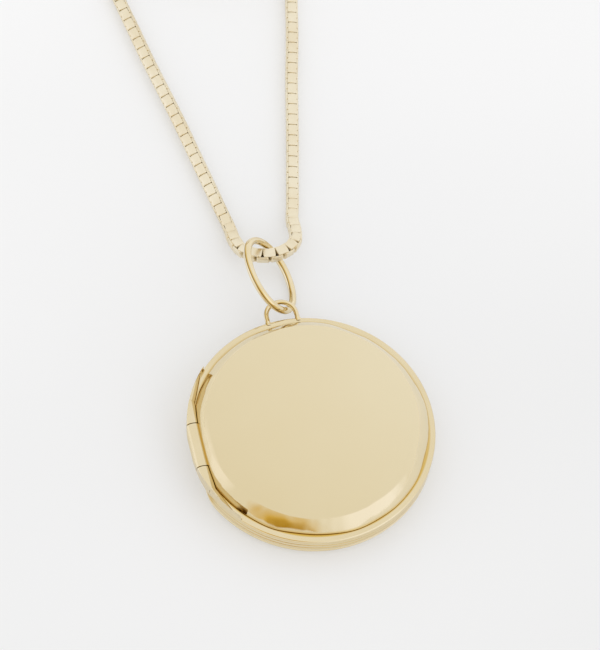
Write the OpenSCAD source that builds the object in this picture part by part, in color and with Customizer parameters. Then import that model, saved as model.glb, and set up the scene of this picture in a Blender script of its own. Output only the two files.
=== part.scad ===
// Round hinged locket on a fine box chain, laid out on a flat surface with its spare chain coiled.
// Origin: centre of the flat resting face of the back cover. +Z is up through the front cover,
// +Y points to the bail lug and the chain, and the hinge is at -X.

/* [Locket] */
// Diameter of the back cover
back_d = 25; // [24:0.5:26]
// Diameter of the front cover, which is smaller and leaves a ledge
front_d = 23.6; // [23.2:0.2:24]
// Height of the closed locket
locket_t = 5; // [4.8:0.1:5.4]
// Height of the seam between the two covers
seam_z = 3.2; // [3.1:0.05:3.3]
// Thickness of the pressed metal
wall = 0.5; // [0.4:0.05:0.55]
// Gap between parts that move on each other
gap = 0.06; // [0.04:0.01:0.08]

/* [Hinge] */
// Radius of the hinge knuckles
knuckle_r = 0.8; // [0.75:0.05:0.85]
// Radius of the hinge pin
pin_r = 0.3; // [0.25:0.05:0.35]
// Half length of the middle knuckle
middle_y = 2.35; // [2:0.05:2.6]
// Half length of the whole row of knuckles
hinge_y = 5; // [4.8:0.1:5.2]

/* [Jump ring and lug] */
// Radius of the jump ring at the middle of its wire
ring_r = 3.95; // [3.9:0.05:4]
// Wire radius of the jump ring
ring_wire = 0.38; // [0.35:0.01:0.4]
// Lean of the jump ring away from lying flat
ring_tilt = 52; // [50:1:54]
// Radius of the lug's half loop at the middle of its wire
lug_r = 1.55; // [1.5:0.05:1.6]
// Wire radius of the lug
lug_wire = 0.25; // [0.22:0.01:0.27]

/* [Chain and clasp] */
// Thickness of the box chain
chain_d = 1.3; // [1.2:0.05:1.3]
// Radius of the outermost turn of the coil
coil_r = 10.1; // [10:0.05:10.2]
// Radius of the spring ring at the middle of its tube
clasp_r = 2.1; // [2.05:0.05:2.2]
// Tube radius of the spring ring
clasp_tube = 0.6; // [0.55:0.01:0.6]
// Radius of the end ring that the spring ring closes on
end_ring_r = 1.35; // [1.3:0.05:1.4]

/* [Hidden] */
$fn = 64;

back_r = back_d / 2;
front_r = front_d / 2;
back_round = 1.2;
lip_round = 0.3;
arc_steps = 8;

// The front's bevelled edge, from its foot at the seam up to the flat face
rim_h = 0.05;
foot_r = 0.2;
fillet_r = 0.6;
bevel_low = 31;
bevel_high = 46;
bevel_h = locket_t - seam_z - gap - rim_h - foot_r * sin(bevel_low) - fillet_r * (1 - sin(bevel_high));
bevel_r = bevel_h / (sin(bevel_high) - sin(bevel_low));

hinge_inset = 0.05;
hinge_x = -back_r + knuckle_r + hinge_inset;
chord_inset = 0.1;
chord_x = hinge_x + chord_inset;
cavity_x = hinge_x + knuckle_r + wall;
cheek_r = knuckle_r - 0.06;
cheek_turn = 23.4;
cheek_near = 1.7;
cheek_far = 4.2;
fine_sides = 256;
pin_y = 3.2;
pin_play = 0.05;
flange_t = 0.6;

bezel_r = 10.9;
bezel_wall = 0.4;
bezel_top = 3.7;
bead_z = 3.5;
bead_r = 0.08;
bezel_cut_x = -8.6;
seat_in = 9.5;
seat_out = 9.9;
seat_h = 0.6;
picture_t = 0.2;
window_t = 0.25;
picture_r = 9.15;
frame_in = 8.4;
frame_out = 9.45;
frame_lip = 0.25;
frame_h = 0.85;
fit = 0.02;

lug_y = 13.05;
lug_z = 2.9;
lug_foot_y = 12.05;
ring_centre = [-0.2, 17.45, 3.55];

chain_r = chain_d / 2;
coil_centre = [1.2, 67, 0];
coil_bore = 3.2;
coil_h = 2 * chain_d;
cap_r = 0.75;
cap_l = 2;
eye_r = 0.55;
eye_wire = 0.2;
link_r = 1;
link_wire = 0.22;
loop_r = 0.6;
loop_wire = 0.22;
bore_r = 0.38;
gate_from = 60;
gate_to = 110;
bolt_from = -5;
bolt_to = 112;
bore_from = -92;
spring_to = -57;
bolt_r = 0.33;
knob_angle = 20;
trigger_travel = 50;
loop_bite = 0.2;
slot_h = 0.4;
slot_margin = 5;
stem_r = 0.14;
stem_l = 0.85;
knob_r = 0.3;
end_ring_wire = 0.26;
eye_x = cap_l + eye_r;
clasp_x = eye_x + 2 * link_r + clasp_r + clasp_tube + loop_r + loop_wire - loop_bite;

// Centre lines of the chain, from the bottom of the bight in the jump ring outwards
left_route = [
    [0.7, 20.1, 2.9], [-0.9, 20.5, 2.7], [-2.1, 21.6, 2.2], [-2.5, 23, 1.6], [-2.6, 25.2, 0.8],
    [-3, 27.6, 0.65], [-3.6, 31, 0.65], [-4.3, 35, 0.65], [-5, 39, 0.65], [-5.8, 43, 0.65],
    [-6.6, 47, 0.65], [-7.3, 51, 0.65], [-8, 55, 0.65], [-8.5, 58.5, 0.65], [-8.8, 62, 0.65],
    [-8.9, 64, 0.65]
];
right_route = [
    [0.7, 20.1, 2.9], [2.3, 20.5, 2.7], [3.5, 21.6, 2.2], [3.9, 23, 1.6], [4.1, 24.9, 0.9],
    [4.6, 26.8, 0.65], [5.4, 30.2, 0.65], [6.3, 34, 0.65], [7.2, 38, 0.65], [8.1, 42, 0.65],
    [9.1, 46, 0.65], [10, 50, 0.65], [10.6, 53, 0.7], [11, 56, 0.95], [11.2, 59, 1.5],
    [11.3, 62, 1.9], [11.3, 64, 1.95]
];
// The two chain ends on top of the coil, measured from the centre of the coil
tail_left = [
    [6.6, 5.4, 3.2], [8.2, 3.6, 3.3], [9.1, 1.2, 3.35], [9.3, -1.6, 3.35], [9.3, -4.2, 3.35],
    [8.6, -6.2, 3.35], [7, -7.4, 3.35], [5.6, -7.6, 3.35]
];
tail_right = [
    [-4.4, 6.2, 2.9], [-6.6, 4.9, 3.3], [-8.1, 3.2, 3.35], [-8.9, 1.2, 3.35], [-8.8, -0.6, 3.35],
    [-7.9, -2.2, 3.35], [-6.4, -2.95, 3.35], [-5.2, -3, 3.35]
];

// Points along an arc of an ellipse about c, from angle a0 to angle a1
function arc(c, r, a0, a1) =
    [for (i = [0 : arc_steps]) let (a = a0 + (a1 - a0) * i / arc_steps) c + [r[0] * cos(a), r[1] * sin(a)]];

// Points of a bend that starts at p, where its surface faces a0 above level, and ends facing a1
function bend(p, r, a0, a1) =
    [for (i = [1 : arc_steps]) let (a = a0 + (a1 - a0) * i / arc_steps)
        p + r * [cos(a) - cos(a0), sin(a) - sin(a0)]];

function last(v) = v[len(v) - 1];
// The front's bevel and top fillet above a point at the top of its foot, with the metal t thinner
function bevel(p, t) =
    let (side = bend(p, bevel_r - t, bevel_low, bevel_high))
    concat(side, bend(last(side), fillet_r - t, bevel_high, 90));

function unit(v) = v / norm(v);
function heading(p, i) = unit(p[min(i + 1, len(p) - 1)] - p[max(i - 1, 0)]);
// Eight corners of the chain's section at one point of a route
function section(p, i, r) =
    let (t = heading(p, i), side = unit(cross(t, [0, 0, 1])), up = cross(side, t))
    [for (k = [0 : 7]) p[i] + r * (cos(45 * k) * side + sin(45 * k) * up)];

module sweep(route, r) {
    spans = len(route) - 1;
    polyhedron(
        points = [for (i = [0 : spans]) each section(route, i, r)],
        faces = concat(
            [[for (k = [7 : -1 : 0]) k]],
            [for (i = [0 : spans - 1], k = [0 : 7])
                [8 * i + k, 8 * i + (k + 1) % 8, 8 * i + 8 + (k + 1) % 8, 8 * i + 8 + k]],
            [[for (k = [0 : 7]) 8 * spans + k]]
        )
    );
}

module wire_ring(r, wire) {
    rotate_extrude() translate([r, 0]) circle(r = wire, $fn = 32);
}

// A wire bent along part of a ring, from angle a0 to angle a1
module wire_arc(r, wire, a0, a1) {
    rotate([0, 0, a0]) rotate_extrude(angle = a1 - a0) translate([r, 0]) circle(r = wire, $fn = 32);
}

// A round bar on the hinge axis, between two places along Y
module hinge_bar(r, y0, y1) {
    translate([hinge_x, y1, seam_z]) rotate([90, 0, 0]) cylinder(r = r, h = y1 - y0);
}

// Everything on the +X side of a plane
module beyond(x) {
    translate([x, -back_d, -1]) cube([2 * back_d, 2 * back_d, 2 * locket_t]);
}

// A rounded edge that runs straight along the hinge, as a solid that reaches far past the cover
module straight_edge(edge) {
    top = last(edge)[1];
    rotate([90, 0, 0]) linear_extrude(2 * back_d, center = true)
        polygon(concat([for (p = edge) [-p[0], p[1]]], [[back_d, top], [back_d, edge[0][1]]]));
}

module picture_seat() {
    translate([0, 0, wall]) difference() {
        cylinder(r = seat_out, h = seat_h);
        translate([0, 0, -1]) cylinder(r = seat_in, h = seat_h + 2);
    }
}

module picture() {
    translate([0, 0, wall + fit]) cylinder(r = picture_r, h = picture_t);
}

module window() {
    translate([0, 0, wall + picture_t + 3 * fit]) cylinder(r = picture_r, h = window_t);
}

// A thin ring with a turned-down rim, which holds the window in its seat
module picture_frame() {
    under = frame_h - frame_lip;
    inner = frame_out - frame_lip;
    rotate_extrude() translate([0, wall + fit]) polygon([
        [frame_in, under], [inner, under], [inner, 0],
        [frame_out, 0], [frame_out, frame_h], [frame_in, frame_h]
    ]);
}

// Puts a piece that is drawn on the back cover's floor under the front cover instead
module under_front() {
    translate([0, 0, locket_t]) mirror([0, 0, 1]) children();
}

module back_cover() {
    bottom = arc([back_r - back_round, back_round], [back_round, back_round], -90, 0);
    ledge = arc([back_r - lip_round, seam_z - lip_round], [lip_round, lip_round], 0, 90);
    inside = arc([back_r - back_round, back_round], [back_round - wall, back_round - wall], -90, 0);
    edge = arc([-chord_x - back_round, back_round], [back_round, back_round], -90, 0);
    color("khaki") {
        difference() {
            intersection() {
                rotate_extrude() polygon(concat([[0, 0]], bottom, ledge, [[0, seam_z]]));
                straight_edge(concat(edge, [[-chord_x, seam_z + 1]]));
            }
            intersection() {
                rotate_extrude() polygon(concat(
                    [[0, wall]], inside,
                    [[back_r - wall, seam_z - flange_t], [bezel_r, seam_z - flange_t]],
                    [[bezel_r, seam_z + 1], [0, seam_z + 1]]
                ));
                beyond(cavity_x);
            }
            hinge_bar(knuckle_r + gap, -middle_y - gap, middle_y + gap);
            hinge_bar(knuckle_r, middle_y, hinge_y);
            hinge_bar(knuckle_r, -hinge_y, -middle_y);
        }
        picture_seat();
    }
}

module inner_bezel() {
    color("darkkhaki") intersection() {
        union() {
            translate([0, 0, wall]) difference() {
                cylinder(r = bezel_r, h = bezel_top - wall);
                translate([0, 0, -1]) cylinder(r = bezel_r - bezel_wall, h = bezel_top + 2);
            }
            translate([0, 0, bead_z]) wire_ring(bezel_r, bead_r);
        }
        beyond(bezel_cut_x);
    }
}

// A knuckle of the hinge with whatever grows out of it, trimmed flush with the round outline of the
// locket
module knuckle(y0, y1, bore, bore_from_y, bore_to_y) {
    difference() {
        intersection() {
            union() {
                hinge_bar(knuckle_r, y0, y1);
                children();
            }
            cylinder(r = back_r - fit, h = 2 * locket_t, $fn = fine_sides);
        }
        hinge_bar(bore, bore_from_y, bore_to_y);
    }
}

// The tapering end of the lower knuckle: a bar turned to follow the rim, whose upper half stands on
// the ledge
module cheek() {
    intersection() {
        rotate([0, 0, 180 + cheek_turn]) translate([front_r + gap + cheek_r, -cheek_near, seam_z])
            rotate([-90, 0, 0]) cylinder(r = cheek_r, h = cheek_near + cheek_far);
        translate([-back_d, -back_d, seam_z]) cube([back_d, 2 * back_d, locket_t]);
    }
}

module hinge_knuckle_upper() {
    color("goldenrod") knuckle(middle_y + gap, hinge_y, pin_r, middle_y - 1, pin_y)
        mirror([0, 1, 0]) cheek();
}

module hinge_knuckle_lower() {
    color("goldenrod") knuckle(-hinge_y, -middle_y - gap, pin_r, -pin_y, 1 - middle_y) cheek();
}

module hinge_knuckle_middle() {
    color("gold") knuckle(-middle_y, middle_y, pin_r + pin_play, -middle_y - 1, middle_y + 1);
}

module hinge_pin() {
    color("silver") hinge_bar(pin_r, -pin_y, pin_y);
}

module bail_lug() {
    color("gold") translate([0, lug_y, lug_z]) {
        wire_arc(lug_r, lug_wire, 0, 180);
        for (x = [-lug_r, lug_r])
            translate([x, 0, 0]) rotate([90, 0, 0]) cylinder(r = lug_wire, h = lug_y - lug_foot_y);
    }
}

module back_picture() {
    color("ivory") picture();
}

module back_window() {
    color("lightcyan") window();
}

module back_frame() {
    color("tan") picture_frame();
}

// The front's outside edge, for a cover or a straight side that reaches this far
function front_edge(reach) =
    let (foot = bend([reach, seam_z + gap + rim_h], foot_r, 0, bevel_low))
    concat([[reach, seam_z + gap], [reach, seam_z + gap + rim_h]], foot, bevel(last(foot), 0));

module front_cover() {
    edge = front_edge(front_r);
    foot = bend([front_r, seam_z + gap + rim_h], foot_r, 0, bevel_low);
    inside = last(foot) - wall * [cos(bevel_low), sin(bevel_low)];
    color("wheat") {
        difference() {
            intersection() {
                rotate_extrude() polygon(concat([[0, seam_z + gap]], edge, [[0, locket_t]]));
                straight_edge(concat([[-chord_x, 0]], front_edge(-chord_x)));
            }
            intersection() {
                rotate_extrude() polygon(concat(
                    [[0, 0], [inside[0], 0], inside], bevel(inside, wall), [[0, locket_t - wall]]
                ));
                beyond(cavity_x);
            }
            hinge_bar(knuckle_r, -middle_y, middle_y);
            hinge_bar(knuckle_r + gap, middle_y, back_r);
            hinge_bar(knuckle_r + gap, -back_r, -middle_y);
        }
        under_front() picture_seat();
    }
}

module front_picture() {
    color("ivory") under_front() picture();
}

module front_window() {
    color("lightcyan") under_front() window();
}

module front_frame() {
    color("tan") under_front() picture_frame();
}

module jump_ring() {
    color("gold") translate(ring_centre) rotate([0, ring_tilt, 0]) wire_ring(ring_r, ring_wire);
}

module chain_left() {
    color("palegoldenrod") sweep(left_route, chain_r);
}

module chain_right() {
    color("palegoldenrod") sweep(right_route, chain_r);
}

module chain_coil() {
    color("khaki") translate(coil_centre) difference() {
        cylinder(r = coil_r + chain_r, h = coil_h);
        translate([0, 0, -1]) cylinder(r = coil_bore, h = coil_h + 2);
    }
}

module chain_tail_left() {
    color("palegoldenrod") translate(coil_centre) sweep(tail_left, chain_r);
}

module chain_tail_right() {
    color("palegoldenrod") translate(coil_centre) sweep(tail_right, chain_r);
}

// Places a piece at the end of one tail, with +X along the way that the tail points
module at_tail(tail, turn, along) {
    translate(coil_centre + tail[len(tail) - 1]) rotate([0, 0, turn]) translate([along, 0, 0]) children();
}

module end_cap() {
    rotate([0, 90, 0]) cylinder(r = cap_r, h = cap_l);
    translate([cap_l + eye_r, 0, 0]) rotate([90, 0, 0]) wire_ring(eye_r, eye_wire);
}

module end_cap_left() {
    color("gold") at_tail(tail_left, 180, 0) end_cap();
}

module end_cap_right() {
    color("gold") at_tail(tail_right, 0, 0) end_cap();
}

module end_ring() {
    color("gold") at_tail(tail_left, 180, eye_x + end_ring_r) wire_ring(end_ring_r, end_ring_wire);
}

module link_ring() {
    color("gold") at_tail(tail_right, 0, eye_x + link_r) wire_ring(link_r, link_wire);
}

module clasp_body() {
    color("gold") at_tail(tail_right, 0, clasp_x) difference() {
        wire_arc(clasp_r, clasp_tube, gate_to, gate_from + 360);
        wire_arc(clasp_r, bore_r, bore_from, gate_from + 5);
        wire_arc(clasp_r, bore_r, gate_to - 5, bolt_to + 2);
        rotate([0, 0, knob_angle - trigger_travel - slot_margin])
            rotate_extrude(angle = trigger_travel + 2 * slot_margin)
                translate([clasp_r, -slot_h / 2]) square([2 * clasp_tube, slot_h]);
    }
}

module clasp_loop() {
    color("gold") at_tail(tail_right, 0, eye_x + 2 * link_r)
        rotate([90, 0, 0]) wire_ring(loop_r, loop_wire);
}

module clasp_spring() {
    color("silver") at_tail(tail_right, 0, clasp_x) wire_arc(clasp_r, bolt_r, bore_from + 1, spring_to);
}

module clasp_trigger() {
    color("goldenrod") at_tail(tail_right, 0, clasp_x) {
        wire_arc(clasp_r, bolt_r, bolt_from, bolt_to);
        rotate([0, 0, knob_angle]) translate([clasp_r, 0, 0]) {
            rotate([0, 90, 0]) cylinder(r = stem_r, h = stem_l);
            translate([stem_l, 0, 0]) sphere(r = knob_r, $fn = 32);
        }
    }
}

back_cover();
inner_bezel();
hinge_knuckle_upper();
hinge_knuckle_lower();
hinge_pin();
bail_lug();
back_picture();
back_window();
back_frame();
front_cover();
hinge_knuckle_middle();
front_picture();
front_window();
front_frame();
jump_ring();
chain_left();
chain_right();
chain_coil();
chain_tail_left();
chain_tail_right();
end_cap_left();
end_cap_right();
end_ring();
link_ring();
clasp_body();
clasp_loop();
clasp_spring();
clasp_trigger();
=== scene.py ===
"""Looks of the round hinged locket on a fine box chain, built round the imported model.

The locket lies on a pale floor with its hinge at -X and the chain towards +Y.
Lengths are in metres, and most are written as millimetres times MM.
"""

import math

import bpy
import numpy as np
from mathutils import Matrix, Vector


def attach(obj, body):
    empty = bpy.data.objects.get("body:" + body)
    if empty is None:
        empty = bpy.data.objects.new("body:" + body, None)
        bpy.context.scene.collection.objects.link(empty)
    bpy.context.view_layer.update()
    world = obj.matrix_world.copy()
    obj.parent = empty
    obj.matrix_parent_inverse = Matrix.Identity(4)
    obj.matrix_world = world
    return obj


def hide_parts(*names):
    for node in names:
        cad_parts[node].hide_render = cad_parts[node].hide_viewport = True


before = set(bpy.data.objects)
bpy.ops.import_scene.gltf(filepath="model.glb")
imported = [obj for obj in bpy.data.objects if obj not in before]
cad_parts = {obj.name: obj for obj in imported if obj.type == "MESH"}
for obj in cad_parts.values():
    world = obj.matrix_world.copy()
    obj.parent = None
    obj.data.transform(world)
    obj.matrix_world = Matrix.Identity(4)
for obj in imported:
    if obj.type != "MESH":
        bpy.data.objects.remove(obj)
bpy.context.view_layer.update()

MM = 0.001

# ---------------------------------------------------------------- sizes shared with the CAD model
BACK_R = 12.5 * MM
FRONT_R = 11.8 * MM
TOP_Z = 5 * MM
SEAM_Z = 3.2 * MM
WALL = 0.5 * MM
GAP = 0.06 * MM
HINGE_X = -11.65 * MM
KNUCKLE_R = 0.8 * MM
PIN_R = 0.3 * MM
MIDDLE_Y = 2.35 * MM
HINGE_Y = 5 * MM
CHORD = 11.55 * MM
CAVITY_CHORD = 10.35 * MM
BEZEL_R = 10.9 * MM
LIP_ROUND = 0.3 * MM
RIM_H = 0.05 * MM
FOOT_R = 0.2 * MM
FILLET_R = 0.6 * MM
BEVEL_LOW = 31
BEVEL_HIGH = 46
CHEEK_R = 0.74 * MM
CHEEK_TURN = 23.4
CHEEK_SPAN = (-1.7 * MM, 4.2 * MM)
SEAT = (9.5 * MM, 9.9 * MM, 0.6 * MM)
RING_R = 3.95 * MM
RING_WIRE = 0.38 * MM
RING_TILT = 52
RING_CENTRE = np.array([-0.2, 17.45, 3.55]) * MM
LUG_R = 1.55 * MM
LUG_WIRE = 0.25 * MM
LUG_CENTRE = np.array([0, 13.05, 2.9]) * MM
LUG_LEG = 1 * MM
GROOVES = 3
# Sides of a turned piece, and of the covers' shells
ROUND = 96
COVER_ROUND = 288
# The ring's two ends are a little thinner than its wire
END_SHARE = 0.8
# Times round, size in millimetres and shift of each wave in the front cover's rim
RIM_WAVES = [(5, 0.08, 1.0), (9, 0.05, 2.3), (17, 0.02, 0.4)]

# ---------------------------------------------------------------- the chain
LINK_PITCH = 0.65 * MM
LINK_WIDTH = 1.34 * MM
LINK_LENGTH = 1.29 * MM
LINK_THICK = 0.24 * MM
LINK_BAND = 0.92 * MM
LINK_CORNER = 0.14 * MM
# The left side of the chain lies leaning on its corner between these lengths from the bight
LEAN = 25
LEAN_SPAN = (4 * MM, 12 * MM, 34 * MM, 42 * MM)
COIL_CENTRE = np.array([1.2, 67, 0]) * MM
COIL_R = 10.1 * MM
COIL_STEP = 1.36 * MM
LOW_Z = 0.65 * MM
MID_Z = 1.96 * MM
HIGH_Z = 3.3 * MM
INNER_R = 3.9 * MM
LEFT_TAIL_R = 8.9 * MM
RIGHT_TAIL_R = 8.1 * MM
TURN_STEP = 15

# Centre lines from the bottom of the bight in the jump ring outwards, in millimetres
LEFT_ROUTE = [
    (0.7, 20.1, 2.9), (-0.9, 20.5, 2.7), (-2.1, 21.6, 2.2), (-2.5, 23, 1.6), (-2.6, 25.2, 0.8),
    (-3, 27.6, 0.65), (-3.6, 31, 0.65), (-4.3, 35, 0.65), (-5, 39, 0.65), (-5.8, 43, 0.65),
    (-6.6, 47, 0.65), (-7.3, 51, 0.65), (-8, 55, 0.65), (-8.5, 58.5, 0.65), (-8.8, 62, 0.65),
    (-8.9, 64, 0.65),
]
RIGHT_ROUTE = [
    (0.7, 20.1, 2.9), (2.3, 20.5, 2.7), (3.5, 21.6, 2.2), (3.9, 23, 1.6), (4.1, 24.9, 0.9),
    (4.6, 26.8, 0.65), (5.4, 30.2, 0.65), (6.3, 34, 0.65), (7.2, 38, 0.65), (8.1, 42, 0.65),
    (9.1, 46, 0.65), (10, 50, 0.65), (10.6, 53, 0.7), (11, 56, 0.95), (11.2, 59, 1.5),
    (11.3, 62, 1.9), (11.3, 64, 1.95),
]
# The two chain ends on top of the coil, measured from the centre of the coil
TAIL_LEFT = [
    (8.2, 3.6, 3.3), (9.1, 1.2, 3.35), (9.3, -1.6, 3.35), (9.3, -4.2, 3.35), (8.6, -6.2, 3.35),
    (7, -7.4, 3.35), (5.6, -7.6, 3.35),
]
TAIL_RIGHT = [
    (-6.6, 4.9, 3.3), (-8.1, 3.2, 3.35), (-8.9, 1.2, 3.35), (-8.8, -0.6, 3.35), (-7.9, -2.2, 3.35),
    (-6.4, -2.95, 3.35), (-5.2, -3, 3.35),
]


# ================================================================ small geometry tools
def ease(t):
    """Runs smoothly from 0 to 1 as t does, and stays there outside that range."""
    t = np.clip(t, 0, 1)
    return t * t * (3 - 2 * t)


def arc_points(centre, radii, start, end, steps):
    """Points of an elliptical arc in a plane, with angles in degrees."""
    angles = np.radians(np.linspace(start, end, steps + 1))
    return [(centre[0] + radii[0] * math.cos(a), centre[1] + radii[1] * math.sin(a)) for a in angles]


SPAN_STEPS = 12


def smooth_line(points):
    """A smooth curve through every point, with SPAN_STEPS steps from each to the next."""
    p = np.array(points, float)
    knots = distance_along(p)
    slope = np.gradient(p, knots, axis=0)
    line = []
    for i in range(len(p) - 1):
        span = knots[i + 1] - knots[i]
        for t in np.arange(SPAN_STEPS) / SPAN_STEPS:
            line.append(
                (2 * t**3 - 3 * t**2 + 1) * p[i] + (t**3 - 2 * t**2 + t) * span * slope[i]
                + (3 * t**2 - 2 * t**3) * p[i + 1] + (t**3 - t**2) * span * slope[i + 1]
            )
    line.append(p[-1])
    return np.array(line)


def resampled(line, count):
    """The line again, with count evenly spaced points."""
    along = distance_along(line)
    at = np.linspace(0, along[-1], count)
    return np.stack([np.interp(at, along, line[:, k]) for k in range(3)], axis=1)


def distance_along(line):
    """How far each point is from the first, along the line."""
    return np.concatenate([[0], np.cumsum(np.linalg.norm(np.diff(line, axis=0), axis=1))])


def frames_along(line):
    """Unit tangent, sideways and upward directions at each point of a line."""
    tangent = np.gradient(line, axis=0)
    tangent /= np.linalg.norm(tangent, axis=1)[:, None]
    side = np.cross(tangent, [0, 0, 1])
    side /= np.linalg.norm(side, axis=1)[:, None]
    return tangent, side, np.cross(side, tangent)


def grid_faces(rows, columns, close_rows=False):
    """Quads of a grid of points that are numbered row by row, with every row closed on itself."""
    faces = []
    for i in range(rows if close_rows else rows - 1):
        for k in range(columns):
            a, b = i * columns, ((i + 1) % rows) * columns
            n = (k + 1) % columns
            faces.append((a + k, a + n, b + n, b + k))
    return faces


def bare_object(name, points, faces):
    """A mesh object with no material; its points are already in the frame of the whole object."""
    mesh = bpy.data.meshes.new(name)
    mesh.from_pydata([tuple(p) for p in points], [], faces)
    thing = bpy.data.objects.new(name, mesh)
    bpy.context.scene.collection.objects.link(thing)
    return thing


def make_piece(name, points, faces, body, material, stands_for, sharp=35):
    """A mesh piece that rides on a body."""
    piece = bare_object(name, points, faces)
    finish_piece(piece, body, material, stands_for, sharp)
    return piece


def finish_piece(piece, body, material, stands_for, sharp):
    """Shades, paints and hangs a finished mesh on its body, for the CAD nodes that it stands for."""
    piece.data.materials.clear()
    piece.data.materials.append(material)
    piece.data.shade_smooth()
    piece.data.set_sharp_from_angle(angle=math.radians(sharp))
    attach(piece, body)
    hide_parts(*stands_for)


def cut(thing, tools):
    """Takes the tools' volumes out of a closed mesh, for good, and removes the tools."""
    for tool in tools:
        step = thing.modifiers.new("cut", "BOOLEAN")
        step.object = tool
        step.operation = "DIFFERENCE"
        step.solver = "EXACT"
    bpy.context.view_layer.update()
    shown = thing.evaluated_get(bpy.context.evaluated_depsgraph_get())
    mesh = bpy.data.meshes.new_from_object(shown)
    thing.modifiers.clear()
    thing.data = mesh
    for tool in tools:
        bpy.data.objects.remove(tool)


def lathe(profile, turns):
    """A closed solid turned about +Z from (radius, height) points that start and end on the axis."""
    angles = np.linspace(0, 2 * math.pi, turns, endpoint=False)
    inner = profile[1:-1]
    points = [(r * math.cos(a), r * math.sin(a), h) for r, h in inner for a in angles]
    faces = grid_faces(len(inner), turns)
    first, last = len(points), len(points) + 1
    points += [(0, 0, profile[0][1]), (0, 0, profile[-1][1])]
    base = (len(inner) - 1) * turns
    for k in range(turns):
        faces.append((first, (k + 1) % turns, k))
        faces.append((last, base + k, base + (k + 1) % turns))
    return np.array(points), faces


def turned_ring(profile, turns):
    """A closed ring turned about +Z from a closed loop of (radius, height) points."""
    angles = np.linspace(0, 2 * math.pi, turns, endpoint=False)
    points = [(r * math.cos(a), r * math.sin(a), h) for r, h in profile for a in angles]
    return np.array(points), grid_faces(len(profile), turns, close_rows=True)


def capped(faces, rows, sides):
    """A wire's faces with one more over each of its ends."""
    return faces + [tuple(reversed(range(sides))), tuple(range((rows - 1) * sides, rows * sides))]


def tube(line, radii, sides):
    """A round wire along a line, with one radius for each point and flat ends."""
    _, side, up = frames_along(line)
    angles = np.linspace(0, 2 * math.pi, sides, endpoint=False)
    points = []
    for i in range(len(line)):
        for a in angles:
            points.append(line[i] + radii[i] * (math.cos(a) * side[i] + math.sin(a) * up[i]))
    return np.array(points), capped(grid_faces(len(line), sides), len(line), sides)


def wire_loop(radius, wire, around, sides, cut_at, cut_width):
    """A ring of round wire about +Z, with two butted ends, cut_width apart, at the angle cut_at."""
    half = 0.5 * cut_width / radius
    start = math.radians(cut_at) + half
    angles = np.linspace(start, start + 2 * math.pi - 2 * half, around)
    section = np.linspace(0, 2 * math.pi, sides, endpoint=False)
    rims = [1.0] * len(angles)
    rims[0] = rims[-1] = END_SHARE
    points = [
        ((radius + wire * s * math.cos(b)) * math.cos(a), (radius + wire * s * math.cos(b)) * math.sin(a),
         wire * s * math.sin(b))
        for a, s in zip(angles, rims) for b in section
    ]
    return np.array(points), capped(grid_faces(around, sides), around, sides)


def placed(points, matrix):
    """Points moved by a 4x4 matrix."""
    m = np.array(matrix, float)
    return np.asarray(points) @ m[:3, :3].T + m[:3, 3]


def joined(parts):
    """Several (points, faces) pairs as one."""
    points, faces, start = [], [], 0
    for p, f in parts:
        points.append(np.asarray(p))
        faces += [tuple(start + i for i in face) for face in f]
        start += len(p)
    return np.concatenate(points), faces


# ================================================================ materials
def add_node(tree, kind, inputs=None, **settings):
    """Adds a node, sets its options, and fills its inputs with values or with other nodes' outputs."""
    node = tree.nodes.new(kind)
    for key, value in settings.items():
        setattr(node, key, value)
    for key, value in (inputs or {}).items():
        if isinstance(value, bpy.types.NodeSocket):
            tree.links.new(value, node.inputs[key])
        else:
            node.inputs[key].default_value = value
    return node


def noise(tree, place, scale, detail, rough=0.5, stretch=(1, 1, 1), turn=0.0):
    """A noise value about 0.5; scale is in cells per metre."""
    settings = {"Vector": place, "Scale": stretch, "Rotation": (0, 0, turn)}
    mapped = add_node(tree, "ShaderNodeMapping", settings)
    made = add_node(
        tree, "ShaderNodeTexNoise",
        {"Vector": mapped.outputs["Vector"], "Scale": scale, "Detail": detail, "Roughness": rough},
    )
    return made.outputs["Fac"]


def remap(tree, value, low, high, to_low, to_high):
    made = add_node(
        tree, "ShaderNodeMapRange",
        {"Value": value, "From Min": low, "From Max": high, "To Min": to_low, "To Max": to_high},
    )
    return made.outputs["Result"]


def maths(tree, operation, a, b=0.0):
    made = add_node(tree, "ShaderNodeMath", {0: a, 1: b}, operation=operation)
    return made.outputs["Value"]


def vector_value(tree, operation, a, b):
    """The number that an operation on two vectors gives, such as their distance."""
    made = add_node(tree, "ShaderNodeVectorMath", {0: a, 1: b}, operation=operation)
    return made.outputs["Value"]


def hypotenuse(tree, a, b):
    return maths(tree, "SQRT", maths(tree, "ADD", maths(tree, "POWER", a, 2), maths(tree, "POWER", b, 2)))


def blend_colours(tree, factor, a, b):
    made = add_node(tree, "ShaderNodeMix", {0: factor, 6: a, 7: b}, data_type="RGBA")
    return made.outputs[2]


def hairlines(tree, place, scale, width, turn):
    """Thin wandering lines, as fine scratches: 1 on a line and 0 elsewhere."""
    value = noise(tree, place, scale, 0.5, 0.3, (1, 0.35, 1), turn)
    away = maths(tree, "ABSOLUTE", maths(tree, "SUBTRACT", value, 0.5))
    return remap(tree, away, 0, width, 1, 0)


def start_material(name):
    """A new material, its node tree and shader, and the point being shaded."""
    material = bpy.data.materials.new(name)
    material.use_nodes = True
    tree = material.node_tree
    place = add_node(tree, "ShaderNodeTexCoord").outputs["Object"]
    return material, tree, shader_of(tree), place


def shader_of(tree):
    return next(n for n in tree.nodes if n.type == "BSDF_PRINCIPLED")


def repaint(tree, share, colour):
    """Blends a colour over the base colour that a finished material has."""
    base = shader_of(tree).inputs["Base Color"]
    tree.links.new(blend_colours(tree, share, base.links[0].from_socket, colour), base)


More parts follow.
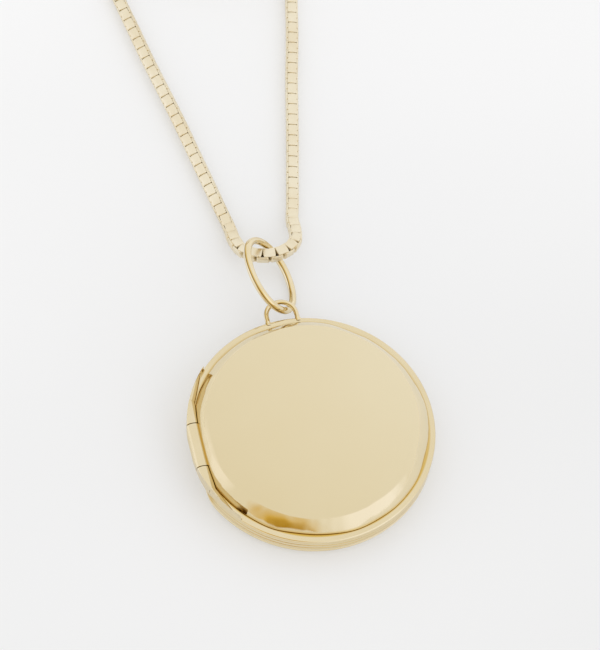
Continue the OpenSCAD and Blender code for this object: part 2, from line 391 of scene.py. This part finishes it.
def add_bump(tree, height, strength=1.0, distance=1.0):
    settings = {"Height": height, "Strength": strength, "Distance": distance}
    bump = add_node(tree, "ShaderNodeBump", settings)
    tree.links.new(bump.outputs["Normal"], shader_of(tree).inputs["Normal"])


def radius_from_axis(tree, place):
    """How far a point is from the locket's axis, and its height."""
    parts = add_node(tree, "ShaderNodeSeparateXYZ", {0: place})
    return hypotenuse(tree, parts.outputs[0], parts.outputs[1]), parts.outputs[2]


def gold_material(name, colour, deep, rough, rough_spread, wobble, wobble_scale, scratches=0.0):
    """Gold with uneven polish: wobble is the height of a slow waviness, and scratches that of hairlines."""
    material, tree, shader, place = start_material(name)
    tone = noise(tree, place, 260, 4)
    tree.links.new(blend_colours(tree, remap(tree, tone, 0.35, 0.65, 0, 1), colour, deep),
                   shader.inputs["Base Color"])
    shader.inputs["Metallic"].default_value = 1
    patches = noise(tree, place, 900, 5)
    tree.links.new(remap(tree, patches, 0.3, 0.7, rough - rough_spread, rough + rough_spread),
                   shader.inputs["Roughness"])
    height = maths(tree, "MULTIPLY", noise(tree, place, wobble_scale, 2), wobble)
    if scratches:
        fine, long = hairlines(tree, place, 330, 0.004, 0.4), hairlines(tree, place, 240, 0.003, 1.9)
        lines = maths(tree, "ADD", fine, long)
        height = maths(tree, "SUBTRACT", height, maths(tree, "MULTIPLY", lines, scratches))
    add_bump(tree, height)
    return material


PALE = (0.80, 0.685, 0.45, 1)
WARM = (0.775, 0.655, 0.415, 1)
FACE_PALE = (0.82, 0.72, 0.50, 1)
FACE_WARM = (0.755, 0.635, 0.395, 1)
CHAIN_PALE = (0.88, 0.80, 0.62, 1)
CHAIN_WARM = (0.84, 0.74, 0.54, 1)
RING_PALE = (0.85, 0.745, 0.52, 1)
RING_WARM = (0.80, 0.66, 0.40, 1)
DEEP = (0.66, 0.44, 0.1, 1)
DARK = (0.22, 0.12, 0.02, 1)
# Painted reflection bands along the ring's wire, deep, dark and a pale highlight: how directly the metal
# faces BANDS_FACE where each starts and is full
BANDS_FACE = (-0.88, -0.34, -0.33)
RING_REFLECTION_BANDS = [(-0.25, 0.1, DEEP), (0.14, 0.22, DARK), (0.34, 0.42, RING_PALE)]
# A near-black spot of painted shade in the seam beside the lower end of the hinge
SEAM_SHADE_SPOT = (-8.95 * MM, -7.65 * MM, 3.3 * MM)


def facing(tree, direction, low, high):
    """0 where a surface turns away from a direction and 1 where it faces it, with low and high the limits.

    The direction is the piece's own, so what is painted with it stays in place when the piece moves."""
    normal = add_node(tree, "ShaderNodeTexCoord").outputs["Normal"]
    near = vector_value(tree, "DOT_PRODUCT", normal, tuple(Vector(direction).normalized()))
    return remap(tree, near, low, high, 0, 1)


def ring_material():
    """The jump ring's and the lug's gold, with painted reflections along the wire: a deep band, a dark band
    and a pale highlight band, set by which way the metal faces.
    """
    material = gold_material("gold_ring", RING_PALE, RING_WARM, 0.06, 0.02, 0.01 * MM, 900)
    for low, high, colour in RING_REFLECTION_BANDS:
        repaint(material.node_tree, facing(material.node_tree, BANDS_FACE, low, high), colour)
    return material


def near_side(tree, place):
    """How strongly the seam is darkened by painted shade: most at the hinge and the bottom, and least at the
    lug.
    """
    along = vector_value(tree, "DOT_PRODUCT", place, (-0.35, -0.94, 0))
    return remap(tree, along, -9 * MM, 4 * MM, 0.12, 1)


def hinge_distance(tree, place):
    """How far a point is from the hinge axis."""
    parts = add_node(tree, "ShaderNodeSeparateXYZ", {0: place})
    across = maths(tree, "SUBTRACT", parts.outputs[0], HINGE_X)
    up = maths(tree, "SUBTRACT", parts.outputs[2], SEAM_Z)
    return hypotenuse(tree, across, up)


def cover_material():
    """The front cover: a satin face with a few hairlines and a painted reflection gradient, a polished,
    slightly wavy bevel, and painted shade that deepens the tone in the seam and round the hinge."""
    material, tree, shader, place = start_material("gold_cover")
    radius, height_z = radius_from_axis(tree, place)
    rim = remap(tree, radius, 10.2 * MM, 10.7 * MM, 0, 1)
    # Painted reflection gradient: the face is painted paler towards +X and +Y and darker and warmer towards
    # the hinge side.
    across = vector_value(tree, "DOT_PRODUCT", place, (0.8, 0.6, 0))
    tone = maths(tree, "ADD", maths(tree, "MULTIPLY", noise(tree, place, 110, 2), 0.4), 0.3)
    tone = maths(tree, "ADD", tone, remap(tree, across, -11 * MM, 11 * MM, 0.5, -0.5))
    face_tone = blend_colours(tree, tone, FACE_PALE, FACE_WARM)
    # Painted shade: the tone deepens in the seam near the rim, most on the hinge side and the bottom, and
    # round the hinge knuckles.
    seam = remap(tree, height_z, 3.3 * MM, 3.6 * MM, 1, 0)
    hinge = remap(tree, hinge_distance(tree, place), KNUCKLE_R + 0.08 * MM, KNUCKLE_R + 0.2 * MM, 1, 0)
    seam = maths(tree, "MULTIPLY", maths(tree, "MULTIPLY", seam, rim), near_side(tree, place))
    crevice_shade = maths(tree, "MAXIMUM", seam, hinge)
    # Painted shade: a near-black spot in the seam beside the lower end of the hinge.
    shade_spot = remap(tree, vector_value(tree, "DISTANCE", place, SEAM_SHADE_SPOT), 0.3 * MM, 0.75 * MM, 1, 0)
    base = blend_colours(tree, shade_spot, blend_colours(tree, crevice_shade, face_tone, DEEP), DARK)
    tree.links.new(base, shader.inputs["Base Color"])
    shader.inputs["Metallic"].default_value = 1
    satin = remap(tree, noise(tree, place, 900, 3), 0.3, 0.7, 0.21, 0.25)
    mixed = add_node(tree, "ShaderNodeMix", {0: rim, 2: satin, 3: 0.09}, data_type="FLOAT")
    tree.links.new(mixed.outputs[0], shader.inputs["Roughness"])
    fine, long = hairlines(tree, place, 95, 0.0022, 0.3), hairlines(tree, place, 70, 0.0016, 2.0)
    here_and_there = remap(tree, noise(tree, place, 160, 1), 0.54, 0.6, 0, 1)
    lines = maths(tree, "MULTIPLY", maths(tree, "ADD", fine, long), here_and_there)
    waves = maths(tree, "MULTIPLY", noise(tree, place, 260, 2), maths(tree, "MULTIPLY", rim, 0.2 * MM))
    add_bump(tree, maths(tree, "SUBTRACT", waves, maths(tree, "MULTIPLY", lines, 0.0014 * MM)))
    return material


def back_material():
    """The back: polished, with hairlines, and painted shade that deepens the tone on the ledge and in the
    turned lines.
    """
    material = gold_material("gold_back", PALE, WARM, 0.1, 0.03, 0.012 * MM, 350, 0.001 * MM)
    tree = material.node_tree
    place = next(n for n in tree.nodes if n.type == "TEX_COORD").outputs["Object"]
    radius, height_z = radius_from_axis(tree, place)
    # Painted shade on the ledge beside the seam, most on the hinge side and the bottom.
    ledge = remap(tree, radius, 11.86 * MM, 12 * MM, 1, 0)
    ledge = maths(tree, "MULTIPLY", ledge, remap(tree, height_z, 3.1 * MM, 3.18 * MM, 0, 1))
    ledge = maths(tree, "MULTIPLY", ledge, near_side(tree, place))
    # Painted shade in the turned lines of the side.
    groove = remap(tree, radius, BACK_R - 0.05 * MM, BACK_R - 0.01 * MM, 1, 0)
    on_side = maths(tree, "MULTIPLY", remap(tree, height_z, 1.2 * MM, 1.3 * MM, 0, 1),
                    remap(tree, height_z, 2.8 * MM, 2.9 * MM, 1, 0))
    groove = maths(tree, "MULTIPLY", maths(tree, "MULTIPLY", groove, on_side), 0.8)
    repaint(tree, maths(tree, "MAXIMUM", ledge, groove), DEEP)
    return material


def brushed_material(name, colour, deep, rough):
    """Metal with fine turned lines about the locket's axis."""
    material, tree, shader, place = start_material(name)
    radius, height = radius_from_axis(tree, place)
    lathe_place = add_node(tree, "ShaderNodeCombineXYZ", {0: radius, 1: height}).outputs[0]
    rings = noise(tree, lathe_place, 9000, 2)
    tree.links.new(blend_colours(tree, remap(tree, rings, 0.3, 0.7, 0, 1), colour, deep),
                   shader.inputs["Base Color"])
    shader.inputs["Metallic"].default_value = 1
    tree.links.new(remap(tree, rings, 0.3, 0.7, rough - 0.05, rough + 0.08), shader.inputs["Roughness"])
    add_bump(tree, rings, distance=0.004 * MM)
    return material


def paper_material():
    """Blank picture paper: cream, with faint fibres and a warmer tone towards its edge."""
    material, tree, shader, place = start_material("paper")
    radius, _ = radius_from_axis(tree, place)
    fibres = noise(tree, place, 5000, 4, 0.6, (1, 0.3, 1), 0.5)
    # The tone turns darker and warmer towards the paper's edge.
    edge_share = remap(tree, radius, 5 * MM, 9.1 * MM, 0, 1)
    cream = blend_colours(tree, edge_share, (0.86, 0.83, 0.74, 1), (0.74, 0.67, 0.52, 1))
    shade = blend_colours(tree, remap(tree, fibres, 0.35, 0.65, 0, 0.25), cream, (0.62, 0.56, 0.44, 1))
    tree.links.new(shade, shader.inputs["Base Color"])
    shader.inputs["Roughness"].default_value = 0.75
    add_bump(tree, fibres, 0.5, 0.02 * MM)
    return material


def window_material():
    """A clear plastic disc over each picture, with fine handling scratches."""
    material, tree, shader, place = start_material("window")
    haze = remap(tree, noise(tree, place, 700, 4), 0.35, 0.65, 0.04, 0.14)
    tree.links.new(haze, shader.inputs["Roughness"])
    shader.inputs["Base Color"].default_value = (0.93, 0.96, 0.97, 1)
    shader.inputs["Alpha"].default_value = 0.2
    add_bump(tree, hairlines(tree, place, 200, 0.003, 0.7), 0.4, 0.003 * MM)
    return material


def floor_material():
    """A pale sheet that glows a little, so that shadows stay faint; painted light makes it lighter beyond the
    chain, and soft patches make its tone uneven.
    """
    material, tree, shader, place = start_material("floor")
    parts = add_node(tree, "ShaderNodeSeparateXYZ", {0: place})
    cloud = noise(tree, place, 14, 1, 0.4, (0.6, 1.4, 1), 0.3)
    # Painted light: the floor is painted lighter towards +Y, beyond the chain.
    away = remap(tree, parts.outputs[1], -25 * MM, 60 * MM, 0, 1)
    tone = maths(tree, "ADD", maths(tree, "MULTIPLY", cloud, 0.7), maths(tree, "MULTIPLY", away, 0.55))
    tone = remap(tree, tone, 0.25, 0.95, 0, 1)
    shade = blend_colours(tree, tone, (0.475, 0.477, 0.475, 1), (0.60, 0.60, 0.60, 1))
    tree.links.new(shade, shader.inputs["Base Color"])
    shader.inputs["Roughness"].default_value = 0.4
    shader.inputs["Specular IOR Level"].default_value = 0.2
    shader.inputs["Emission Color"].default_value = (1, 1, 1, 1)
    shader.inputs["Emission Strength"].default_value = 0.34
    return material


# ================================================================ camera, floor and light
TARGET = Vector((0, 0, 2.5 * MM))
VIEW_AZIMUTH = 23.7
VIEW_ELEVATION = 63.5
VIEW_ROLL = 11.4
VIEW_DISTANCE = 0.3
LENS = 166.1
AIM_RIGHT = -3.15 * MM
AIM_UP = 10.13 * MM
LAMP_PLACE = (0.5, -0.5, 0.6)
LAMP_SIZE = 0.5
LAMP_WATTS = 0.6


def make_camera():
    """The camera looks down on the locket, and aims past it towards the chain."""
    a, e = math.radians(VIEW_AZIMUTH), math.radians(VIEW_ELEVATION)
    forward = Vector((math.sin(a) * math.cos(e), math.cos(a) * math.cos(e), -math.sin(e)))
    right = Vector((math.cos(a), -math.sin(a), 0))
    up = right.cross(forward)
    place = TARGET - VIEW_DISTANCE * forward
    aim = (VIEW_DISTANCE * forward + AIM_RIGHT * right + AIM_UP * up).normalized()
    roll = math.radians(VIEW_ROLL)
    rolled_up = math.cos(roll) * up - math.sin(roll) * right
    z = -aim
    x = rolled_up.cross(z).normalized()
    y = z.cross(x)
    camera = bpy.data.objects.new("camera", bpy.data.cameras.new("camera"))
    camera.data.lens = LENS
    camera.data.sensor_width = 36
    camera.data.clip_start = 0.01
    camera.data.clip_end = 10
    camera.matrix_world = Matrix.Translation(place) @ Matrix((x, y, z)).transposed().to_4x4()
    bpy.context.scene.collection.objects.link(camera)
    bpy.context.scene.camera = camera


def make_floor():
    """A wide flat sheet just under the locket."""
    size, below = 1.5, -0.02 * MM
    corners = [(-size, -size, below), (size, -size, below), (size, size, below), (-size, size, below)]
    floor = bare_object("floor", corners, [(0, 1, 2, 3)])
    floor.data.materials.append(floor_material())


def make_lamp():
    """A soft square light that faces the locket and isn't mirrored in it."""
    light = bpy.data.lights.new("key", "AREA")
    light.shape = "RECTANGLE"
    light.size = LAMP_SIZE
    light.size_y = LAMP_SIZE
    light.energy = LAMP_WATTS
    lamp = bpy.data.objects.new("key", light)
    lamp.location = LAMP_PLACE
    lamp.rotation_euler = (TARGET - Vector(LAMP_PLACE)).to_track_quat("-Z", "Y").to_euler()
    lamp.visible_glossy = False
    bpy.context.scene.collection.objects.link(lamp)


# Parts of the room that the polished gold mirrors: azimuth, elevation, inner and outer angle, colour
ROOM_PARTS = [
    (-122, 4, 10, 32, (0.80, 0.56, 0.13, 1)),
    (-116, -3, 5, 20, (0.52, 0.31, 0.03, 1)),
    (-55, 12, 18, 36, (1.15, 1.18, 1.33, 1)),
    (172, 12, 12, 26, (1.12, 1.14, 1.25, 1)),
]


def heading(azimuth, elevation):
    """The direction at an azimuth from +X and an elevation, both in degrees."""
    a, e = math.radians(azimuth), math.radians(elevation)
    return (math.cos(a) * math.cos(e), math.sin(a) * math.cos(e), math.sin(e))


def nearness(tree, ray, direction, inner, outer):
    """1 within the inner angle of a direction, and 0 beyond the outer one."""
    near = vector_value(tree, "DOT_PRODUCT", ray, direction)
    return remap(tree, near, math.cos(math.radians(outer)), math.cos(math.radians(inner)), 0, 1)


def make_room():
    """White surroundings with a few warm, dark or bright places."""
    world = bpy.data.worlds.new("room")
    bpy.context.scene.world = world
    world.use_nodes = True
    tree = world.node_tree
    ray = add_node(tree, "ShaderNodeTexCoord").outputs["Generated"]
    shade = (0.97, 0.97, 0.97, 1)
    for azimuth, elevation, inner, outer, colour in ROOM_PARTS:
        inside = nearness(tree, ray, heading(azimuth, elevation), inner, outer)
        shade = blend_colours(tree, inside, shade, colour)
    background = next(n for n in tree.nodes if n.type == "BACKGROUND")
    tree.links.new(shade, background.inputs["Color"])
    background.inputs["Strength"].default_value = 1.0


# ================================================================ the chain
def turn_point(angle, radius, z):
    """A point of the coil, with the angle in degrees about its centre."""
    a = math.radians(angle)
    return COIL_CENTRE + [radius * math.cos(a), radius * math.sin(a), z]


def left_coil():
    """The lower layer, wound clockwise and inwards, and then up through the middle to the top."""
    points = []
    wound, inward, climb, out = 940, 50, 155, 81
    for turned in range(TURN_STEP, wound + inward + climb + out, TURN_STEP):
        radius = COIL_R - COIL_STEP * min(turned, wound) / 360
        radius += (INNER_R - radius) * ease((turned - wound) / inward)
        radius += (LEFT_TAIL_R - INNER_R) * ease((turned - wound - inward - climb) / out)
        z = LOW_Z + (HIGH_Z - LOW_Z) * ease((turned - wound - inward) / climb)
        points.append(turn_point(180 - turned, radius, z))
    return points


def right_coil():
    """The upper layer, wound anticlockwise and inwards, and then up and out over its own turns."""
    points = []
    wound, lift_from, lift, out_from, out = 1185, 1165, 38, 1188, 32
    for turned in range(TURN_STEP, out_from + out, TURN_STEP):
        radius = COIL_R - COIL_STEP * min(turned, wound) / 360
        radius += (RIGHT_TAIL_R - radius) * ease((turned - out_from) / out)
        z = MID_Z + (HIGH_Z - MID_Z) * ease((turned - lift_from) / lift)
        points.append(turn_point(turned, radius, z))
    return points


def cord_line(route, coil, tail, before):
    """The centre line of one side, from the bight along the floor and round the coil to the chain's end.

    It starts at the route's first point; before is the other side's next point, which only sets the
    direction there."""
    points = [np.array(before) * MM] + [np.array(p) * MM for p in route] + coil
    points += [COIL_CENTRE + np.array(p) * MM for p in tail]
    return smooth_line(points)[SPAN_STEPS:]


def link_mesh():
    """One link: a flat band bent into a rounded square. It lies along X and opens towards Z."""
    corners = ((1, 1, 0), (-1, 1, 90), (-1, -1, 180), (1, -1, 270))
    bends = 4
    corner, inner_corner = LINK_CORNER, 0.04 * MM
    half = np.array([LINK_LENGTH, LINK_WIDTH]) / 2
    edge, crown = 0.08 * MM, 0.015 * MM
    side = LINK_BAND / 2
    section = [
        (crown, -side + 1.5 * edge), (0, 0), (crown, side - 1.5 * edge), (edge, side),
        (LINK_THICK - edge / 2, side), (LINK_THICK, side - edge), (LINK_THICK, -side + edge),
        (LINK_THICK - edge / 2, -side), (edge, -side),
    ]
    points = []
    for sx, sy, start in corners:
        for a in np.radians(np.linspace(start, start + 90, bends)):
            for depth, z in section:
                bend = max(corner - depth, inner_corner)
                x, y = half - depth - bend
                points.append((sx * x + bend * math.cos(a), sy * y + bend * math.sin(a), z))
    return np.array(points), grid_faces(len(corners) * bends, len(section), close_rows=True)


def leaned(line, count):
    """Evenly spaced places on the line and the lean at each, lifted so that the corners clear the floor."""
    places = resampled(line, count)
    along = np.linspace(0, distance_along(line)[-1], count)
    start, full, fading, end = LEAN_SPAN
    lean = np.radians(LEAN) * ease((along - start) / (full - start)) * ease((end - along) / (end - fading))
    core = LINK_WIDTH / 2 - LINK_CORNER
    places[:, 2] += core * (np.cos(lean) + np.sin(lean) - 1)
    return places, lean


def chain_piece(name, line, first_turned, leans, material, stands_for):
    """Box-chain links along a line, each turned a quarter against its neighbours."""
    count = round(distance_along(line)[-1] / LINK_PITCH)
    steps = 2 * count + 1
    places, lean = leaned(line, steps) if leans else (resampled(line, steps), np.zeros(steps))
    tangent, side, up = frames_along(places)
    c, s = np.cos(lean)[:, None], np.sin(lean)[:, None]
    side, up = c * side + s * up, c * up - s * side
    shape, shape_faces = link_mesh()
    parts = []
    for i in range(count):
        j = 2 * i + 1
        turned = (i % 2 == 0) == first_turned
        across, through = (up[j], side[j]) if turned else (side[j], up[j])
        basis = np.stack([tangent[j], across, through])
        parts.append((shape @ basis + places[j], shape_faces))
    points, faces = joined(parts)
    return make_piece(name, points, faces, "chain", material, stands_for, sharp=50)


def make_chain(material):
    """Both sides of the chain, with their centre lines."""
    left = cord_line(LEFT_ROUTE, left_coil(), TAIL_LEFT, RIGHT_ROUTE[1])
    right = cord_line(RIGHT_ROUTE, right_coil(), TAIL_RIGHT, LEFT_ROUTE[1])
    left_nodes = ["chain_left", "chain_tail_left", "chain_coil"]
    right_nodes = ["chain_right", "chain_tail_right"]
    return (
        (chain_piece("chain_links_left", left, True, True, material, left_nodes), left),
        (chain_piece("chain_links_right", right, False, False, material, right_nodes), right),
    )


# ================================================================ the locket
def rim_wave(angles):
    """The small unevenness of a hand-finished rim, in metres, round the locket. It fades out at the hinge."""
    waves = sum(size * MM * np.sin(times * angles + shift) for times, size, shift in RIM_WAVES)
    from_hinge = np.cos(angles) + 0.78
    return waves * ease(from_hinge / 0.3)


def polar_solid(name, rows):
    """A closed solid of revolution with a flat cut on its -X side.

    Each row is (radius, distance of the cut from the axis, height, share of the rim's unevenness),
    and the first and last are on the axis."""
    angles = np.linspace(0, 2 * math.pi, COVER_ROUND, endpoint=False)
    sharpness = 70
    towards_hinge = np.maximum(-np.cos(angles), 1e-3)
    points = []
    for radius, chord, z, uneven in rows[1:-1]:
        reach = ((1 / radius) ** sharpness + (towards_hinge / chord) ** sharpness) ** (-1 / sharpness)
        reach += uneven * rim_wave(angles)
        points += [(r * math.cos(a), r * math.sin(a), z) for r, a in zip(reach, angles)]
    count = len(rows) - 2
    faces = grid_faces(count, COVER_ROUND)
    first, last, base = len(points), len(points) + 1, (count - 1) * COVER_ROUND
    points += [(0, 0, rows[0][2]), (0, 0, rows[-1][2])]
    for k in range(COVER_ROUND):
        n = (k + 1) % COVER_ROUND
        faces.append((first, n, k))
        faces.append((last, base + k, base + n))
    return bare_object(name, points, faces)


def outside_rows(points, edge_r, uneven=0.0):
    """Rows of an outer surface, which keeps the same distance from the round edge as from the cut."""
    offset = edge_r - CHORD
    return [(r, r - offset if r > 6 * MM else CHORD, z, uneven) for r, z in points]


def inside_rows(points):
    """Rows of an inner surface, which stops at a cut clear of the hinge."""
    return [(r, CAVITY_CHORD, z, 0.0) for r, z in points]


def hinge_tool(radius, start, end):
    """A round bar on the hinge axis that is only used for cutting."""
    middle, half = 0.5 * (start + end), 0.5 * (end - start)
    points, faces = lathe([(0, -half), (radius, -half), (radius, half), (0, half)], ROUND)
    spot = Matrix.Translation((HINGE_X, middle, SEAM_Z)) @ Matrix.Rotation(math.pi / 2, 4, "X")
    return bare_object("hinge_tool", placed(points, spot), faces)


def bend(start, radius, a0, a1, steps):
    """Points of a bend that starts where its surface faces a0 above level, and ends facing a1."""
    angles = np.radians(np.linspace(a0, a1, steps + 1))[1:]
    first = math.radians(a0)
    return [(start[0] + radius * (math.cos(a) - math.cos(first)),
             start[1] + radius * (math.sin(a) - math.sin(first))) for a in angles]


def front_edge():
    """The front cover's edge from its foot at the seam up to the flat face, outside and inside."""
    rim = SEAM_Z + GAP + RIM_H
    foot = [(FRONT_R, rim)] + bend((FRONT_R, rim), FOOT_R, 0, BEVEL_LOW, 6)
    low, high = math.radians(BEVEL_LOW), math.radians(BEVEL_HIGH)
    rise = TOP_Z - foot[-1][1] - FILLET_R * (1 - math.sin(high))
    bevel_r = rise / (math.sin(high) - math.sin(low))
    outside, inside = foot, [(foot[-1][0] - WALL * math.cos(low), foot[-1][1] - WALL * math.sin(low))]
    for line, thinner in ((outside, 0), (inside, WALL)):
        line += bend(line[-1], bevel_r - thinner, BEVEL_LOW, BEVEL_HIGH, 16)
        line += bend(line[-1], FILLET_R - thinner, BEVEL_HIGH, 90, 12)
    return outside, [p for p in inside if p[1] > rim]


def front_cover(material):
    """The lid: a shallow cup with a bevelled edge, and a ring inside that holds the picture."""
    outside, inside = front_edge()
    flat_r = outside[-1][0]
    face = [(share * flat_r, TOP_Z) for share in np.linspace(0.1, 0.96, 12)]
    rows = [(0, CHORD, TOP_Z, 0.0)] + outside_rows(face, FRONT_R)
    for i, point in enumerate(reversed(outside)):
        rows += outside_rows([point], FRONT_R, i / len(outside))
    bottom = SEAM_Z + GAP
    rows += outside_rows([(FRONT_R - 0.02 * MM, bottom)], FRONT_R, 1.0)
    floor_z = TOP_Z - WALL
    seat_in, seat_out, seat_h = SEAT
    seat_z = floor_z - seat_h
    seat = [(seat_out, floor_z), (seat_out, seat_z), (seat_in, seat_z), (seat_in, floor_z)]
    rows += inside_rows([(inside[0][0], bottom)] + inside + seat + [(0, floor_z)])
    lid = polar_solid("front_cover_shell", rows)
    cut(lid, [hinge_tool(KNUCKLE_R, -MIDDLE_Y - GAP, MIDDLE_Y + GAP),
              hinge_tool(KNUCKLE_R + GAP, MIDDLE_Y + GAP / 2, BACK_R),
              hinge_tool(KNUCKLE_R + GAP, -BACK_R, -MIDDLE_Y - GAP / 2)])
    finish_piece(lid, "front_cover", material, ["front_cover"], sharp=38)


def grooved_side(low, high, deep):
    """The upright side of the back cover, with GROOVES fine turned lines."""
    points = []
    for z in np.linspace(low, high, 70):
        phase = GROOVES * (z - low) / (high - low)
        ridge = abs(math.sin(math.pi * phase))
        points.append((BACK_R - deep * (1 - ridge) ** 2, z))
    return points


def back_cover(material):
    """The back: a cup with a wider rim, and fine turned lines round its side."""
    rounded = 1.2 * MM
    base = [(r, 0) for r in np.linspace(1, 11, 8) * MM]
    base += arc_points((BACK_R - rounded, rounded), (rounded, rounded), -90, 0, 16)
    side = grooved_side(1.25 * MM, 2.85 * MM, 0.07 * MM)
    top = arc_points((BACK_R - LIP_ROUND, SEAM_Z - LIP_ROUND), (LIP_ROUND, LIP_ROUND), 0, 90, 8)
    rows = [(0, CHORD, 0, 0.0)] + outside_rows(base + side + top, BACK_R)
    flange_z = SEAM_Z - 0.6 * MM
    under = arc_points((BACK_R - rounded, rounded), (rounded - WALL, rounded - WALL), 0, -90, 10)
    seat_in, seat_out, seat_h = SEAT
    seat = [(seat_out, WALL), (seat_out, WALL + seat_h), (seat_in, WALL + seat_h), (seat_in, WALL)]
    flange = [(BEZEL_R, SEAM_Z), (BEZEL_R, flange_z), (BACK_R - WALL, flange_z)]
    rows += inside_rows(flange + under + seat + [(0, WALL)])
    cup = polar_solid("back_cover_shell", rows)
    cut(cup, [hinge_tool(KNUCKLE_R + GAP, -MIDDLE_Y - GAP, MIDDLE_Y + GAP),
              hinge_tool(KNUCKLE_R, MIDDLE_Y + GAP, HINGE_Y),
              hinge_tool(KNUCKLE_R, -HINGE_Y, -MIDDLE_Y - GAP)])
    finish_piece(cup, "locket", material, ["back_cover"], sharp=38)


def flush(points, inset):
    """Points outside the locket's round outline pulled in to just inside it."""
    limit = BACK_R - inset
    reach = np.hypot(points[:, 0], points[:, 1])
    scale = np.where(reach > limit, limit / reach, 1)
    return points * np.stack([scale, scale, np.ones(len(points))], axis=1)


def cheek(side):
    """The low bar on the ledge that carries on from an outer knuckle and tapers out at the rim.

    Side is 1 for the upper knuckle and -1 for the lower."""
    start, end = CHEEK_SPAN
    profile = [(0, start)] + [(CHEEK_R, y) for y in np.linspace(start, end, 60)] + [(0, end)]
    points, faces = lathe(profile, ROUND)
    spot = Matrix.Rotation(math.radians(180 + CHEEK_TURN), 4, "Z")
    spot = spot @ Matrix.Translation((FRONT_R + GAP + CHEEK_R, 0, SEAM_Z))
    spot = spot @ Matrix.Rotation(-math.pi / 2, 4, "X")
    points = flush(placed(points, spot), 0.03 * MM)
    if side > 0:
        points = points * [1, -1, 1]
        faces = [tuple(reversed(face)) for face in faces]
    return points, faces


def knuckle(name, start, end, bore, body, material, node, extras=()):
    """A piece of the hinge tube, with softened ends, trimmed flush with the locket's round outline."""
    soft = 0.07 * MM
    rim = arc_points((KNUCKLE_R - soft, 0), (soft, soft), 90, 0, 4)
    profile = [(bore, start), (bore, end)]
    profile += [(r, end - soft + z) for r, z in rim]
    body_rows = np.linspace(end - 2 * soft, start + 2 * soft, 24)
    profile += [(KNUCKLE_R, y) for y in body_rows]
    profile += [(r, start + soft - z) for r, z in reversed(rim)]
    points, faces = turned_ring(profile, ROUND)
    spot = Matrix.Translation((HINGE_X, 0, SEAM_Z)) @ Matrix.Rotation(-math.pi / 2, 4, "X")
    points, faces = joined([(flush(placed(points, spot), 0.01 * MM), faces), *extras])
    make_piece(name, points, faces, body, material, [node])


def jump_ring(material):
    """The ring of round wire between the lug and the chain, with its soldered joint beside the lug."""
    points, faces = wire_loop(RING_R, RING_WIRE, 160, 28, cut_at=-62, cut_width=0.03 * MM)
    spot = Matrix.Translation(RING_CENTRE) @ Matrix.Rotation(math.radians(RING_TILT), 4, "Y")
    make_piece("jump_ring_wire", placed(points, spot), faces, "jump_ring", material,
               ["jump_ring"])


def bail_lug(material):
    """The half loop on the back cover's rim, with a small fillet of solder at each foot."""
    legs = LUG_LEG
    angles = np.linspace(0, math.pi, 33)
    half_turn = [LUG_CENTRE + [LUG_R * math.cos(a), LUG_R * math.sin(a), 0] for a in angles]
    down = [LUG_CENTRE + [LUG_R, -d, 0] for d in np.linspace(legs, 0.1 * legs, 10)]
    up = [LUG_CENTRE + [-LUG_R, -d, 0] for d in np.linspace(0.1 * legs, legs, 10)]
    line = np.array(down + half_turn + up)
    along = distance_along(line)
    from_end = np.minimum(along, along[-1] - along)
    fillet = 0.13 * MM * (1 - ease((from_end - 0.15 * MM) / (0.4 * MM)))
    points, faces = tube(line, LUG_WIRE + fillet, 24)
    make_piece("bail_lug_wire", points, faces, "locket", material, ["bail_lug"])


# ================================================================ the whole scene
def paint_node(name, material):
    """Gives a CAD node that stays on show its material."""
    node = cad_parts[name]
    node.data.materials.clear()
    node.data.materials.append(material)


def build():
    make_camera()
    polished = gold_material("gold_polished", PALE, WARM, 0.07, 0.03, 0.012 * MM, 700)
    chain_gold = gold_material("gold_chain", CHAIN_PALE, CHAIN_WARM, 0.38, 0.06, 0.004 * MM, 2500)
    inner = brushed_material("gold_inner", PALE, DEEP, 0.3)
    sides = make_chain(chain_gold)
    make_floor()
    make_room()
    make_lamp()
    front_cover(cover_material())
    back_cover(back_material())
    knuckle("knuckle_middle_shell", -MIDDLE_Y, MIDDLE_Y, PIN_R + 0.05 * MM, "front_cover", polished,
            "hinge_knuckle_middle")
    knuckle("knuckle_upper_shell", MIDDLE_Y + GAP, HINGE_Y, PIN_R, "locket", polished,
            "hinge_knuckle_upper", [cheek(1)])
    knuckle("knuckle_lower_shell", -HINGE_Y, -MIDDLE_Y - GAP, PIN_R, "locket", polished,
            "hinge_knuckle_lower", [cheek(-1)])
    ring_gold = ring_material()
    jump_ring(ring_gold)
    bail_lug(ring_gold)
    for name in ("end_cap_left", "end_cap_right", "end_ring", "link_ring", "clasp_body",
                 "clasp_loop", "clasp_trigger"):
        paint_node(name, polished)
    for name in ("inner_bezel", "back_frame", "front_frame"):
        paint_node(name, inner)
    steel = brushed_material("spring_steel", (0.62, 0.62, 0.6, 1), (0.45, 0.45, 0.44, 1), 0.3)
    for name in ("hinge_pin", "clasp_spring"):
        paint_node(name, steel)
    paper = paper_material()
    window = window_material()
    for side in ("front", "back"):
        paint_node(side + "_picture", paper)
        paint_node(side + "_window", window)


build()
bpy.context.scene.view_settings.view_transform = "Standard"
